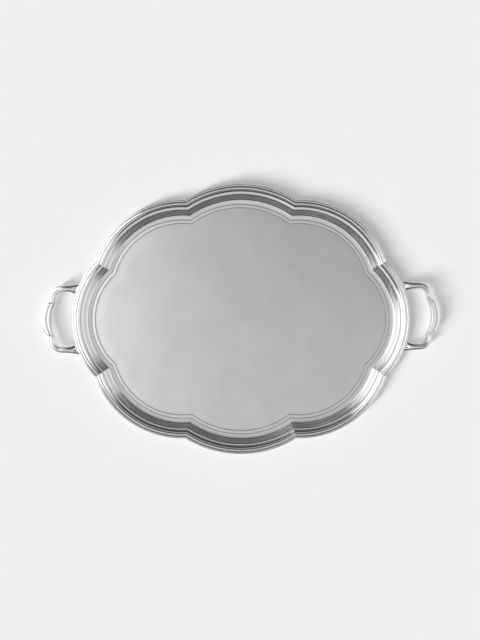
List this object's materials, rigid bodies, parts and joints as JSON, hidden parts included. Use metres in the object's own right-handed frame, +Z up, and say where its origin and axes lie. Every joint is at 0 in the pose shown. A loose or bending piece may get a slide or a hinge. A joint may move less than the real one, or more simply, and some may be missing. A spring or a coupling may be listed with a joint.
{
  "type": "serving tray",
  "caption": "Oval metal serving tray with a lobed outline, a flat engraved well, a mitred reeded border and a fixed cast handle at each end.",
  "frame": {"origin": "middle of the flat underside, on the surface that the tray stands on", "axes": "+X through the handles, towards the right-hand one; +Y across the tray, towards the back; +Z up, out of the well"},
  "size_m": [0.62, 0.421, 0.017],
  "materials": {
    "plate_metal": "satin well, polished ring and wall",
    "border_metal": "polished",
    "handle_metal": "polished casting"
  },
  "bodies": {
    "root": {"tray_plate": "plate_metal", "border_right": "border_metal", "border_back_right": "border_metal", "border_back": "border_metal", "border_back_left": "border_metal", "border_left": "border_metal", "border_front_left": "border_metal", "border_front": "border_metal", "border_front_right": "border_metal", "left_handle": "handle_metal", "right_handle": "handle_metal"}
  },
  "joints": []
}
